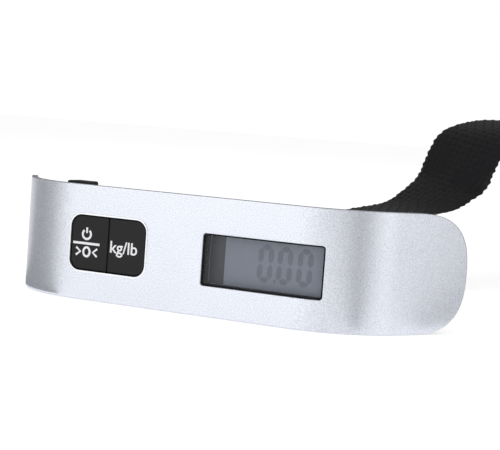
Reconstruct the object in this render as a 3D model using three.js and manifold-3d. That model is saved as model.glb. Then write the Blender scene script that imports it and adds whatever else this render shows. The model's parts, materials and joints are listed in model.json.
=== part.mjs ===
// A digital luggage scale: a long hand-held body with a bent silver cover, two keys and a small
// display in front, a load beam inside, and a webbing strap on a swinging ring behind.
// Millimetres, +Z up. The body stands on its long lower edge, its display faces -Y and +X is to the
// right of the display. The origin is on the flat foot of the rear housing, half-way along the body.

import * as THREE from 'three';
import { mergeVertices } from 'three/addons/utils/BufferGeometryUtils.js';
import Module from 'manifold-3d';

const wasm = await Module();
wasm.setup();

// ---- driving dimensions -------------------------------------------------------------------

const gap = 0.3;                       // clearance between pieces that touch

// the bent cover, in plan: flat in the middle, an arc at each side, then a straight flange
const height = 29.5;                   // height of the body, standing on its long edge
const frontY = -15;                    // outer face of the cover
const flatHalf = 31;
const bendRadius = 26;
const bendAngle = THREE.MathUtils.degToRad(56);
const flangeLength = 22;
const coverThick = 1.6;
const cornerLength = 16;               // length of the rounded corners along the flange
const cornerPower = 2.7;               // roundness of the superellipse of those corners

// layers behind the cover's outer face, measured square to it
const frameFront = coverThick + gap;
const frameBack = frameFront + 2.2;
const housingFront = frameBack + gap;
const wall = 1.8;                      // housing wall

// key panel and display window, in the front view
const keys = { x0: -31.6, x1: -9.5, z0: 7.5, z1: 21.75, radius: 3 };
const keyTravel = 0.5;
const windowHole = { x0: 6.5, x1: 38.6, z0: 7.6, z1: 20.5, radius: 0.75 };
const display = { x0: 5.2, x1: 40, z0: 5, z1: 23.1, front: -11.2, thick: 1.8 };

// circuit board
const board = { x0: -37.2, x1: 40.8, z0: 5, z1: 24.6, front: -7.2, thick: 1.2 };

// rear housing
const rearY = 12.6;
const housingTop = { front: 28.8, rear: 26.9 };
const rearRound = 2;
const notch = { halfX: 17.6, y0: 2.4, z1: 8.3 };   // pocket that the ring swings in
const linkBay = { halfX: 4.5, y0: -1.3, y1: 10.3 };  // room round the load link, above and before it
const lining = 1;                      // wall of the pocket
const posts = [{ x: 45, z: 5.6 }, { x: 45, z: 22.3 }, { x: -5.5, z: 22.8 }];

// load beam, link and ring
const beam = { x0: -5, x1: 44, y0: 1, y1: 8, z0: 9.8, z1: 18.2 };
const linkPin = { x: 0, z: 14, radius: 1.5 };
const ring = { halfX: 15, frontY: 4.5, rearY: 27.5, z: 5, wire: 3 };

// battery tray, left of the keys as seen from behind
const tray = { x0: -44.2, x1: -21.6, y0: -2.5, y1: 2.5, z0: 2.6 };
const coin = { radius: 10, thick: 3.2 };
const catchNub = { x0: -41.75, x1: -35.25, y0: -3.2, y1: 3.2, top: 29.45 };

// strap: its side view (y, z), and how far it wanders to the right on its way back
const strapWidth = 25;
const strapThick = 1.6;
const strapPath = [
  [30.4, 5.2], [38, 7.5], [48, 14], [60, 19.5], [75, 22.6], [90, 23.6], [103, 25], [111, 28],
  [118, 33], [124, 41], [130, 48.5], [138, 52], [150, 54], [163, 53.5], [177, 49], [189, 41],
  [199, 31], [208, 20], [216, 10.5], [224, 5.2], [231, 3.9],
];
const strapDrift = [[38, 0], [68, 0.38], [150, 0.38], [190, 0.05], [300, 0.05]];  // (y, dx/dy)
const hookBar = { y: 233.5, z: 3.9, radius: 1.6 };

// ---- helpers ------------------------------------------------------------------------------

const group = new THREE.Group();
const round = 24;                      // sides of a round piece
const small = 12;                      // sides of a small round piece

const finishes = {
  silver: { color: 0xc9ccd6, roughness: 0.34, metalness: 0.75 },
  black: { color: 0x17181a, roughness: 0.55, metalness: 0 },
  keyBlack: { color: 0x1f2023, roughness: 0.6, metalness: 0 },
  clear: { color: 0xdfe6ea, roughness: 0.05, metalness: 0, transparent: true, opacity: 0.3 },
  display: { color: 0x7c828c, roughness: 0.2, metalness: 0 },
  steel: { color: 0xb9bcc0, roughness: 0.28, metalness: 1 },
  aluminium: { color: 0xc7c9cc, roughness: 0.45, metalness: 1 },
  boardGreen: { color: 0x1d5a38, roughness: 0.5, metalness: 0 },
  chip: { color: 0x222326, roughness: 0.6, metalness: 0 },
  rubber: { color: 0x8f6f8a, roughness: 0.8, metalness: 0 },
  ceramic: { color: 0xb79a72, roughness: 0.6, metalness: 0 },
  foil: { color: 0xb87a3a, roughness: 0.4, metalness: 0.2 },
  webbing: { color: 0x1b1b1e, roughness: 0.9, metalness: 0 },
};

function solid(geometry) {
  const bare = geometry.index ? geometry.toNonIndexed() : geometry.clone();
  bare.deleteAttribute('normal');
  bare.deleteAttribute('uv');
  const merged = mergeVertices(bare, 1e-5);
  return new wasm.Manifold(new wasm.Mesh({
    numProp: 3,
    vertProperties: new Float32Array(merged.attributes.position.array),
    triVerts: new Uint32Array(merged.index.array),
  }));
}

function geometryOf(body) {
  const mesh = body.getMesh();
  const geometry = new THREE.BufferGeometry();
  geometry.setAttribute('position', new THREE.BufferAttribute(mesh.vertProperties, 3));
  geometry.setIndex(new THREE.BufferAttribute(mesh.triVerts, 1));
  geometry.computeVertexNormals();
  return geometry;
}

function add(name, body, finish) {
  const mesh = new THREE.Mesh(geometryOf(body), new THREE.MeshStandardMaterial(finishes[finish]));
  mesh.name = name;
  group.add(mesh);
}

function box(x0, x1, y0, y1, z0, z1) {
  const geometry = new THREE.BoxGeometry(x1 - x0, y1 - y0, z1 - z0);
  geometry.translate((x0 + x1) / 2, (y0 + y1) / 2, (z0 + z1) / 2);
  return solid(geometry);
}

// round bar between two points that differ along one axis only
function rod(from, to, radius, sides = small) {
  const start = new THREE.Vector3(...from);
  const along = new THREE.Vector3(...to).sub(start);
  const geometry = new THREE.CylinderGeometry(radius, radius, along.length(), sides);
  const turn = new THREE.Quaternion();
  turn.setFromUnitVectors(new THREE.Vector3(0, 1, 0), along.clone().normalize());
  geometry.applyQuaternion(turn);
  geometry.translate(...start.addScaledVector(along, 0.5).toArray());
  return solid(geometry);
}

// a shape drawn in plan (x, y), raised from z0 to z1
function raise(shape, z0, z1, options = {}) {
  const geometry = new THREE.ExtrudeGeometry(shape, { depth: z1 - z0, bevelEnabled: false, ...options });
  geometry.translate(0, 0, z0);
  return solid(geometry);
}

// a shape drawn in the front view (x, z), run back from y0 to y1
function runBack(shape, y0, y1) {
  const geometry = new THREE.ExtrudeGeometry(shape, { depth: y1 - y0, bevelEnabled: false });
  geometry.rotateX(Math.PI / 2);
  geometry.translate(0, y1, 0);
  return solid(geometry);
}

// a shape drawn in the side view (y, z), run across from x0 to x1
function runAcross(shape, x0, x1) {
  const geometry = new THREE.ExtrudeGeometry(shape, { depth: x1 - x0, bevelEnabled: false });
  geometry.rotateX(Math.PI / 2);
  geometry.rotateZ(Math.PI / 2);
  geometry.translate(x0, 0, 0);
  return solid(geometry);
}

function roundedRect(x0, x1, z0, z1, radius) {
  const shape = new THREE.Shape();
  shape.moveTo(x0 + radius, z0);
  shape.lineTo(x1 - radius, z0);
  shape.absarc(x1 - radius, z0 + radius, radius, -Math.PI / 2, 0);
  shape.lineTo(x1, z1 - radius);
  shape.absarc(x1 - radius, z1 - radius, radius, 0, Math.PI / 2);
  shape.lineTo(x0 + radius, z1);
  shape.absarc(x0 + radius, z1 - radius, radius, Math.PI / 2, Math.PI);
  shape.lineTo(x0, z0 + radius);
  shape.absarc(x0 + radius, z0 + radius, radius, Math.PI, Math.PI * 1.5);
  return sampled(shape, 5);
}

// the same outline as plain points, so that arcs get the number of steps given
function sampled(shape, divisions) {
  const points = shape.extractPoints(divisions).shape;
  return new THREE.Shape(points.filter((p, i) => p.distanceTo(points.at(i - 1)) > 1e-4));
}

const polygon = (points) => new THREE.Shape(points.map(([a, b]) => new THREE.Vector2(a, b)));
const union = (...bodies) => bodies.reduce((sum, body) => sum.add(body));
const cut = (body, ...tools) => tools.reduce((rest, tool) => rest.subtract(tool), body);

// ---- the bent outline that cover, frame and housing share -----------------------------------

// right-hand half of the plan curve, at a depth behind the cover's outer face
function planHalf(depth, flange = flangeLength) {
  const points = [[flatHalf, frontY + depth]];
  const steps = 10;
  const radius = bendRadius - depth;
  for (let i = 1; i <= steps; i += 1) {
    const angle = bendAngle * i / steps;
    points.push([
      flatHalf + radius * Math.sin(angle),
      frontY + bendRadius - radius * Math.cos(angle),
    ]);
  }
  const [x, y] = points.at(-1);
  points.push([x + flange * Math.cos(bendAngle), y + flange * Math.sin(bendAngle)]);
  return points;
}

const mirrored = (points) => points.map(([x, y]) => [-x, y]).reverse();

// strip of the bent plate between two depths
function bentStrip(front, back, z0, z1, flange) {
  const outer = planHalf(front, flange);
  const inner = planHalf(back, flange);
  return raise(polygon([...mirrored(outer), ...outer, ...[...inner].reverse(),
    ...mirrored(inner).reverse()]), z0, z1);
}

// everything behind a depth, as far as the plane y = rear
function behind(depth, rear, z0, z1) {
  const half = planHalf(depth);
  const last = half.at(-1);
  const slope = Math.cos(bendAngle) / Math.sin(bendAngle);
  half[half.length - 1] = [last[0] + (rear - last[1]) * slope, rear];
  return raise(polygon([...mirrored(half), ...half]), z0, z1);
}

// front view of the body: straight top and bottom, superelliptic ends
function frontOutline(inset, rise = 0, corner = cornerLength * Math.cos(bendAngle)) {
  const [endX] = planHalf(0).at(-1);
  const halfX = endX - inset;
  const halfZ = height / 2 - rise;
  const steps = 12;
  const points = [];
  for (let side = 0; side < 2; side += 1) {
    const sign = side === 0 ? 1 : -1;
    for (let i = 0; i <= steps * 2; i += 1) {
      const angle = sign * (-Math.PI / 2 + Math.PI * i / (steps * 2));
      const cos = Math.abs(Math.cos(angle)) ** (2 / cornerPower);
      const sin = Math.abs(Math.sin(angle)) ** (2 / cornerPower) * Math.sign(Math.sin(angle));
      points.push([sign * (halfX - corner + corner * cos), height / 2 + halfZ * sin]);
    }
  }
  return polygon(points);
}

// ---- front cover, frame, window ---------------------------------------------------------------

const keyHole = runBack(roundedRect(keys.x0, keys.x1, keys.z0, keys.z1, keys.radius), frontY - 1, 0);
const seeThrough = runBack(
  roundedRect(windowHole.x0, windowHole.x1, windowHole.z0, windowHole.z1, windowHole.radius),
  frontY - 1,
  0,
);

add('front_cover', cut(
  bentStrip(0, coverThick, 0, height).intersect(runBack(frontOutline(0), frontY - 1, 30)),
  keyHole,
  seeThrough,
), 'silver');

const lensRect = roundedRect(windowHole.x0 + gap, windowHole.x1 - gap,
  windowHole.z0 + gap, windowHole.z1 - gap, windowHole.radius - gap);
add('window_lens', bentStrip(0.7, 1.5, 0, height).intersect(runBack(lensRect, frontY - 1, 0)), 'clear');

// the frame's ends stop short of the cover's, so that they stay hidden behind its round corners;
// bosses on the back of the frame carry the circuit board
const frameInset = 1 + frameBack * Math.sin(bendAngle);
const frameRise = 1;                   // its long edges lie this far inside the cover's
const bosses = [{ x: -35, z: 14.6 }, { x: 0.9, z: 14.6 }];
const bossY = board.front - gap;
const recessEnd = display.x1 + 0.9;    // right end of the recess for the display
let frame = bentStrip(frameFront, frameBack, 0, height, flangeLength - 1)
  .intersect(runBack(frontOutline(frameInset, frameRise), frontY - 1, 30));
for (const { x, z } of bosses) {
  frame = frame.add(rod([x, frontY + frameFront + 1, z], [x, bossY, z], 2));
}
frame = cut(frame, keyHole,
  box(windowHole.x0 - gap, recessEnd, -16, 0, windowHole.z0 - gap, windowHole.z1 + gap),
  box(display.x0 - gap, recessEnd, display.front - gap, 0, display.z0 - gap, display.z1 + gap));
for (const { x, z } of bosses) {
  frame = frame.subtract(rod([x, -12, z], [x, 0, z], 1.1));
}
for (const { x, z } of posts) {
  frame = frame.subtract(rod([x, -16, z], [x, 0, z], 1.5));
}
add('front_frame', frame, 'black');

// ---- keys ---------------------------------------------------------------------------------------

const keyFace = frontY + 0.2;
const keyMiddle = (keys.x0 + keys.x1) / 2;
const keyLip = { y0: frontY + frameBack + gap, y1: frontY + frameBack + gap + 0.8, margin: 0.8 };
const clearance = 0.25;
const domeY = board.front - gap;

for (const [name, side] of [['power_key', -1], ['unit_key', 1]]) {
  const full = roundedRect(keys.x0 + clearance, keys.x1 - clearance,
    keys.z0 + clearance, keys.z1 - clearance, keys.radius - clearance);
  const half = side < 0
    ? box(keys.x0 - 5, keyMiddle - 0.15, -20, 0, 0, height)
    : box(keyMiddle + 0.15, keys.x1 + 5, -20, 0, 0, height);
  const centre = (keyMiddle + (side < 0 ? keys.x0 : keys.x1)) / 2;
  const middleZ = (keys.z0 + keys.z1) / 2;
  const lip = roundedRect(keys.x0 - keyLip.margin, keys.x1 + keyLip.margin,
    keys.z0 - keyLip.margin, keys.z1 + keyLip.margin, keys.radius);
  const cap = union(
    runBack(full, keyFace, keyLip.y0 + 0.01),
    runBack(lip, keyLip.y0, keyLip.y1),
  ).intersect(half);
  const dome = domeY - 0.6;
  add(name, cap.add(rod([centre, keyLip.y1 - 0.1, middleZ], [centre, dome - keyTravel - 0.1, middleZ], 2)),
    'keyBlack');
  add(`${name}_dome`, union(
    rod([centre, dome, middleZ], [centre, dome + 0.3, middleZ], 2, small),
    rod([centre, dome + 0.29, middleZ], [centre, domeY, middleZ], 3, small),
  ), 'steel');
}

// ---- display stack -----------------------------------------------------------------------------

const displayBack = display.front + display.thick;
const holder = { x0: 5.2, x1: 39.2, y0: displayBack + gap, y1: board.front - gap };
const connectors = { display_connector_upper: 21.6, display_connector_lower: 7 };
const connectorBar = { x0: 8, x1: 36.6, halfZ: 1 };

add('display_glass', box(display.x0, display.x1, display.front, displayBack, display.z0, display.z1),
  'display');
let holderBody = box(holder.x0, holder.x1, holder.y0, holder.y1, display.z0, display.z1);
for (const [name, z] of Object.entries(connectors)) {
  holderBody = holderBody.subtract(box(connectorBar.x0 - gap, connectorBar.x1 + gap,
    holder.y0 - 1, holder.y1 + 1, z - connectorBar.halfZ - gap, z + connectorBar.halfZ + gap));
  add(name, box(connectorBar.x0, connectorBar.x1, holder.y0 + 0.01, holder.y1 - 0.01,
    z - connectorBar.halfZ, z + connectorBar.halfZ), 'rubber');
}
add('display_holder', holderBody, 'black');

// ---- circuit board and what is on it ------------------------------------------------------------

const boardBack = board.front + board.thick;
const postRadius = 2.7;
const topPost = posts[2];
let boardBody = box(board.x0, board.x1, board.front, boardBack, board.z0, board.z1);
boardBody = boardBody.subtract(box(topPost.x - postRadius - gap, topPost.x + postRadius + gap,
  -10, 0, topPost.z - postRadius - gap, board.z1 + 1));
bosses.forEach(({ x, z }, i) => {
  boardBody = boardBody.subtract(rod([x, -10, z], [x, 0, z], 1.2));
  add(`board_screw_${i + 1}`, union(
    rod([x, boardBack + gap, z], [x, boardBack + gap + 0.8, z], 2),
    rod([x, boardBack + gap + 0.1, z], [x, bossY - 2.4, z], 0.9),
  ), 'steel');
});
add('circuit_board', boardBody, 'boardGreen');

const onBoard = boardBack + gap;
const chips = {
  controller_chip: { x: 14, z: 11.5, w: 9, h: 9, t: 1.4, finish: 'chip' },
  bridge_amplifier: { x: 28, z: 12, w: 6, h: 4, t: 1.4, finish: 'chip' },
  filter_capacitor: { x: 27, z: 18, w: 3.2, h: 1.6, t: 1.2, finish: 'ceramic' },
  supply_capacitor: { x: -14, z: 9, w: 3.2, h: 1.6, t: 1.2, finish: 'ceramic' },
};
for (const [name, c] of Object.entries(chips)) {
  add(name, box(c.x - c.w / 2, c.x + c.w / 2, onBoard, onBoard + c.t, c.z - c.h / 2, c.z + c.h / 2),
    c.finish);
}
add('crystal', rod([2.6, onBoard + 1.5, 7.6], [8.6, onBoard + 1.5, 7.6], 1.5), 'steel');

// ---- rear housing ---------------------------------------------------------------------------------

// side view of the housing: flat foot, rounded rear edges and a top that falls to the rear
function housingSide(inset, front) {
  const foremost = frontY + housingFront;
  const slope = (housingTop.front - housingTop.rear) / (rearY - rearRound - foremost);
  const topAt = (y) => housingTop.front - slope * (y - foremost) - inset;
  const rear = rearY - inset;
  const r = rearRound;
  const points = [[front, inset]];
  for (let i = 0; i <= 4; i += 1) {
    const a = Math.PI / 2 * i / 4;
    points.push([rear - r + r * Math.sin(a), inset + r - r * Math.cos(a)]);
  }
  const top = topAt(rear - r);
  for (let i = 0; i <= 4; i += 1) {
    const a = Math.PI / 2 * i / 4;
    points.push([rear - r + r * Math.cos(a), top - r + r * Math.sin(a)]);
  }
  points.push([front, topAt(front)]);
  return polygon(points);
}

const endInset = 5.8;                  // the housing's ends stop short of the cover's
const endCorner = 9;
const housingOutline = frontOutline(endInset, 0, endCorner);
const housingShape = behind(housingFront, rearY, 0, height)
  .intersect(runAcross(housingSide(0, frontY + housingFront - 1), -70, 70))
  .intersect(runBack(housingOutline, -20, 20));

// the hollow is open to the front; its ends run parallel to the cover's flanges
const endWall = planHalf(housingFront + wall).slice(-2);
const endSlope = Math.cos(bendAngle) / Math.sin(bendAngle);
const endX = (y) => endWall[0][0] + (y - endWall[0][1]) * endSlope;
const hollow = raise(polygon([
  [-endX(frontY), frontY], [-endX(rearY - wall), rearY - wall],
  [endX(rearY - wall), rearY - wall], [endX(frontY), frontY],
]), 0, height)
  .intersect(runAcross(housingSide(wall, frontY - 1), -70, 70))
  .intersect(runBack(frontOutline(endInset + wall, wall, endCorner), -20, 20));

let housing = housingShape.subtract(hollow);
for (const { x, z } of posts) {
  const post = rod([x, -14, z], [x, rearY - 0.5, z], x > 0 ? 3.5 : postRadius);
  housing = housing.add(post.intersect(housingShape));
}
const ceiling = notch.z1 + lining;
housing = housing.add(union(
  box(-notch.halfX - lining, notch.halfX + lining, notch.y0 - lining, rearY, 0, ceiling),
  box(-linkBay.halfX - lining, linkBay.halfX + lining, linkBay.y0 - lining, notch.y0, 0, ceiling),
).intersect(housingShape));
const slotMargin = gap + 0.2;
housing = cut(housing,
  box(-notch.halfX, notch.halfX, notch.y0, rearY + 5, -1, notch.z1),
  box(-linkBay.halfX, linkBay.halfX, linkBay.y0, notch.y0 + 1, wall, ceiling + 1),
  box(-linkBay.halfX, linkBay.halfX, linkBay.y0, linkBay.y1, notch.z1 - 1, ceiling + 1),
  box(tray.x0 - gap, tray.x1 + gap, tray.y0 - slotMargin, tray.y1 + slotMargin, 20, height + 1));
for (const { x, z } of posts) {
  housing = cut(housing,
    rod([x, 4, z], [x, rearY + 5, z], 2.4),
    rod([x, -15, z], [x, 5, z], 1.5));
}
const beamScrews = [{ x: 36.5, z: 14 }, { x: 41.3, z: 14 }];
const screwHole = 1.8;
for (const { x, z } of beamScrews) {
  housing = housing.subtract(rod([x, 8, z], [x, rearY - 0.5, z], screwHole));
}
add('rear_housing', housing, 'black');

const screwNames = ['housing_screw_lower', 'housing_screw_upper', 'housing_screw_middle'];
const screw = { seat: 4.3, top: 6, head: 2.1, shank: 1.1, slot: 0.35, slotReach: 1.4, slotFloor: 5.4 };
const screwTip = { end: -8, middle: -12.4 };
posts.forEach(({ x, z }, i) => {
  const tip = x > 0 ? screwTip.end : screwTip.middle;
  add(screwNames[i], cut(
    union(
      rod([x, screw.seat, z], [x, screw.top, z], screw.head),
      rod([x, screw.seat + 0.3, z], [x, tip, z], screw.shank),
    ),
    box(x - screw.slot, x + screw.slot, screw.slotFloor, screw.top + 1,
      z - screw.slotReach, z + screw.slotReach),
    box(x - screw.slotReach, x + screw.slotReach, screw.slotFloor, screw.top + 1,
      z - screw.slot, z + screw.slot),
  ), 'steel');
});

// ---- battery ----------------------------------------------------------------------------------------

const trayMiddle = (tray.x0 + tray.x1) / 2;
const coinZ = tray.z0 + 1 + coin.radius + gap;
const lipZ = 26.2;
const trayBody = cut(
  union(
    box(tray.x0, tray.x1, tray.y0, tray.y1, tray.z0, lipZ + 1.4),
    runBack(roundedRect(catchNub.x0, catchNub.x1, lipZ, catchNub.top, 0.6), tray.y0, tray.y1),
  ),
  rod([trayMiddle, tray.y0 - 1, coinZ], [trayMiddle, coin.thick / 2 + gap, coinZ],
    coin.radius + gap, round * 2),
  rod([trayMiddle, 0, coinZ], [trayMiddle, 5, coinZ], coin.radius - 2, round),
);
add('battery_tray', trayBody, 'black');
add('coin_cell', rod([trayMiddle, -coin.thick / 2, coinZ], [trayMiddle, coin.thick / 2, coinZ],
  coin.radius, round * 2), 'steel');

const chamber = { right: tray.x1 + gap, y0: -4.6, y1: 4.6, wall: 1, z0: 2.1, z1: 25 };
add('battery_chamber', cut(
  box(tray.x0, chamber.right + chamber.wall, chamber.y0, chamber.y1, chamber.z0, chamber.z1),
  box(tray.x0 - 1, chamber.right, chamber.y0 + chamber.wall, chamber.y1 - chamber.wall, 0, height),
), 'black');
const leaf = { halfX: 3, z0: coinZ - 8, z1: coinZ + 8, thick: 0.3 };
for (const [name, y] of [['battery_spring_negative', -3.3], ['battery_spring_positive', 3]]) {
  add(name, box(trayMiddle - leaf.halfX, trayMiddle + leaf.halfX, y, y + leaf.thick, leaf.z0, leaf.z1),
    'steel');
}

// ---- load beam ---------------------------------------------------------------------------------------

const beamMiddleZ = (beam.z0 + beam.z1) / 2;
let beamBody = box(beam.x0, beam.x1, beam.y0, beam.y1, beam.z0, beam.z1);
const eye = { left: 12, right: 24, radius: 3.2 };
for (const x of [eye.left, eye.right]) {
  beamBody = beamBody.subtract(rod([x, 0, beamMiddleZ], [x, 9, beamMiddleZ], eye.radius, 16));
}
beamBody = beamBody.subtract(box(eye.left, eye.right, 0, 9, beamMiddleZ - 1.2, beamMiddleZ + 1.2));
beamBody = beamBody.subtract(rod([linkPin.x, 0, linkPin.z], [linkPin.x, 9, linkPin.z],
  linkPin.radius + gap));
for (const { x, z } of beamScrews) {
  beamBody = beamBody.subtract(rod([x, 0, z], [x, 9, z], screwHole));
}
add('load_beam', beamBody, 'aluminium');

const gauge = { x0: 14, x1: 22, y0: 3, y1: 6, thick: 0.2, gap: 0.1 };
for (const [name, z0] of [
  ['strain_gauge_upper', beam.z1 + gauge.gap],
  ['strain_gauge_lower', beam.z0 - gauge.gap - gauge.thick],
]) {
  add(name, box(gauge.x0, gauge.x1, gauge.y0, gauge.y1, z0, z0 + gauge.thick), 'foil');
}

const spacer = { y0: beam.y1 + gap, y1: rearY - wall - gap };
let spacerBody = box(33, beam.x1, spacer.y0, spacer.y1, beam.z0, beam.z1);
beamScrews.forEach(({ x, z }, i) => {
  spacerBody = spacerBody.subtract(rod([x, 7, z], [x, rearY, z], screwHole));
  add(`beam_screw_${i + 1}`, union(
    rod([x, beam.y0 - gap - 1.6, z], [x, beam.y0 - gap, z], 2.2),
    rod([x, beam.y0 - gap - 0.2, z], [x, rearY - 0.9, z], 1.4),
  ), 'steel');
});
add('beam_spacer', spacerBody, 'aluminium');

// gauge leads: a flat ribbon from the beam's upper gauge to the circuit board
const leadThick = 0.4;
const leadRun = [[5, beam.z1 + 0.8], [-0.6, beam.z1 + 0.8], [-2.4, beam.z1 - 1], [onBoard, beam.z1 - 1]];
const leadSide = polygon([...leadRun, ...leadRun.map(([y, z]) => [y, z - leadThick]).reverse()]);
add('gauge_leads', runAcross(leadSide, 10.2, 13.2), 'foil');

// ---- link and ring -------------------------------------------------------------------------------------

const link = { halfX: 4, innerRadius: 3.8, thick: 1.5, y: 4.5, z: 7, top: 18.5 };
function linkSide() {
  const points = [];
  const outer = link.innerRadius + link.thick;
  const steps = 12;
  points.push([link.y - outer, link.top]);
  for (let i = 0; i <= steps; i += 1) {
    const a = Math.PI + Math.PI * i / steps;
    points.push([link.y + outer * Math.cos(a), link.z + outer * Math.sin(a)]);
  }
  points.push([link.y + outer, link.top], [link.y + link.innerRadius, link.top]);
  for (let i = 0; i <= steps; i += 1) {
    const a = -Math.PI * i / steps;
    points.push([link.y + link.innerRadius * Math.cos(a), link.z + link.innerRadius * Math.sin(a)]);
  }
  points.push([link.y - link.innerRadius, link.top]);
  return polygon(points);
}
const linkReach = link.innerRadius + link.thick;
add('load_link', cut(
  runAcross(linkSide(), -link.halfX, link.halfX),
  rod([linkPin.x, -10, linkPin.z], [linkPin.x, 20, linkPin.z], linkPin.radius + gap),
), 'steel');
add('link_pin', rod([linkPin.x, link.y - linkReach - 0.3, linkPin.z],
  [linkPin.x, link.y + linkReach + 0.3, linkPin.z], linkPin.radius), 'steel');

// the ring is a closed wire loop that lies flat behind the body; the bevel rounds the wire
const bevel = 0.8;
function ringOutline(offset, radius) {
  return roundedRect(-ring.halfX - offset, ring.halfX + offset,
    ring.frontY - offset, ring.rearY + offset, radius);
}
const half = ring.wire / 2;
const loop = ringOutline(half - bevel, 2.6);
loop.holes.push(ringOutline(-(half - bevel), 0.9));
add('strap_ring', raise(loop, ring.z - half + bevel, ring.z + half - bevel,
  { bevelEnabled: true, bevelSize: bevel, bevelThickness: bevel, bevelSegments: 2 }), 'steel');

// ---- strap and end hook ----------------------------------------------------------------------------------

// sideways place of the strap's middle, from how its heading changes on the way back
function drift(y) {
  let x = 0;
  for (let i = 1; i < strapDrift.length; i += 1) {
    const [y0, slope0] = strapDrift[i - 1];
    const [y1, slope1] = strapDrift[i];
    const reach = Math.min(Math.max(y - y0, 0), y1 - y0);
    x += reach * (slope0 + (slope1 - slope0) * reach / (y1 - y0) / 2);
  }
  return x;
}

function strapSide() {
  const line = new THREE.SplineCurve(strapPath.map(([y, z]) => new THREE.Vector2(y, z)));
  const steps = 44;
  const upper = [];
  const lower = [];
  for (let i = 0; i <= steps; i += 1) {
    const point = line.getPointAt(i / steps);
    const tangent = line.getTangentAt(i / steps);
    const normal = new THREE.Vector2(-tangent.y, tangent.x).multiplyScalar(strapThick / 2);
    upper.push(point.clone().add(normal));
    lower.push(point.clone().sub(normal));
  }
  return new THREE.Shape([...lower, ...upper.reverse()]);
}

function sleeve(y, z, radius) {
  return cut(
    rod([-strapWidth / 2, y, z], [strapWidth / 2, y, z], radius + gap + strapThick, 16),
    rod([-strapWidth, y, z], [strapWidth, y, z], radius + gap, 16),
  );
}

const flatStrap = union(
  cut(runAcross(strapSide(), -strapWidth / 2, strapWidth / 2),
    rod([-strapWidth, ring.rearY, ring.z], [strapWidth, ring.rearY, ring.z], half + gap + 0.4, 16),
    rod([-strapWidth, hookBar.y, hookBar.z], [strapWidth, hookBar.y, hookBar.z],
      hookBar.radius + gap + 0.4, 16)),
  sleeve(ring.rearY, ring.z, half),
  sleeve(hookBar.y, hookBar.z, hookBar.radius),
);
const strap = flatStrap.warp((v) => {
  v[0] += drift(v[1]);
});
add('strap', strap, 'webbing');

// end hook: a bar for the strap, then an open hook, tilted until its tip touches the floor
const hook = { outer: 12, inner: 7.5, arcY: 26, base: -0.8, halfX: 16, shoulder: 9, neck: 14, tipY: 24 };
const strapSlot = { halfX: 13.2, y0: 0.8, y1: 5.6 };
function hookOutline() {
  const shape = new THREE.Shape();
  shape.moveTo(-hook.halfX, hook.base);
  shape.lineTo(hook.halfX, hook.base);
  shape.lineTo(hook.halfX, hook.shoulder);
  shape.lineTo(hook.outer, hook.neck);
  shape.lineTo(hook.outer, hook.arcY);
  shape.absarc(0, hook.arcY, hook.outer, 0, Math.PI);
  shape.lineTo(-hook.outer, hook.tipY);
  shape.lineTo(-hook.inner, hook.tipY - 1.5);
  shape.lineTo(-hook.inner, hook.arcY);
  shape.absarc(0, hook.arcY, hook.inner, Math.PI, 0, true);
  shape.lineTo(hook.inner, hook.neck + 4);
  shape.lineTo(hook.inner - 4.5, hook.neck);
  shape.lineTo(-hook.outer, hook.neck);
  shape.lineTo(-hook.halfX, hook.shoulder);
  const outline = sampled(shape, 12);
  outline.holes.push(polygon([
    [-strapSlot.halfX, strapSlot.y0], [strapSlot.halfX, strapSlot.y0],
    [strapSlot.halfX, strapSlot.y1], [-strapSlot.halfX, strapSlot.y1],
  ]));
  return outline;
}
const hookThick = hookBar.radius * 2;
const hookBevel = 0.5;
const hookShape = new THREE.ExtrudeGeometry(hookOutline(), {
  depth: hookThick - hookBevel * 2,
  bevelEnabled: true,
  bevelSize: 0.3,
  bevelThickness: hookBevel,
  bevelSegments: 1,
});
hookShape.translate(0, 0, hookBevel - hookThick / 2);
const hookLength = 38;
hookShape.rotateX(-Math.asin((hookBar.z - hookBar.radius - 0.1) / hookLength));
hookShape.translate(drift(hookBar.y), hookBar.y, hookBar.z);
add('end_hook', solid(hookShape), 'keyBlack');

export default group;
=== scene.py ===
import functools
import json
import math

import bpy
from mathutils import Matrix, Vector
from mathutils.geometry import delaunay_2d_cdt


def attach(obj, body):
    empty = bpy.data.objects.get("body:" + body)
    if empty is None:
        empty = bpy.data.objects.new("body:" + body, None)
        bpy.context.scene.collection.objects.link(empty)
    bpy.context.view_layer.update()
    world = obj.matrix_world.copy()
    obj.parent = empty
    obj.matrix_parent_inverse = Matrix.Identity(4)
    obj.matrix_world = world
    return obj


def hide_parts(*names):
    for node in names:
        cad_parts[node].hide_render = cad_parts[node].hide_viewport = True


# Looks of a digital luggage scale, built round its CAD nodes. Points and sizes of the pieces are in
# millimetres until piece() and words() turn them into metres. Materials, camera, cards, lights and
# floor are in metres.

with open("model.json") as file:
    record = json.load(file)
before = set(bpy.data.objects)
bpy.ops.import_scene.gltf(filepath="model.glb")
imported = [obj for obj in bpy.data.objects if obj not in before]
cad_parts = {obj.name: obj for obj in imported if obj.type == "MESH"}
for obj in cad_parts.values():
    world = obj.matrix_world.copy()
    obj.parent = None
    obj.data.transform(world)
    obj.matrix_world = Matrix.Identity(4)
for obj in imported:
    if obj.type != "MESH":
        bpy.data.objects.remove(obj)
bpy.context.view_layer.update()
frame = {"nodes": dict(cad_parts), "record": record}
nodes = frame["nodes"]
MM = 0.001

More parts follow.
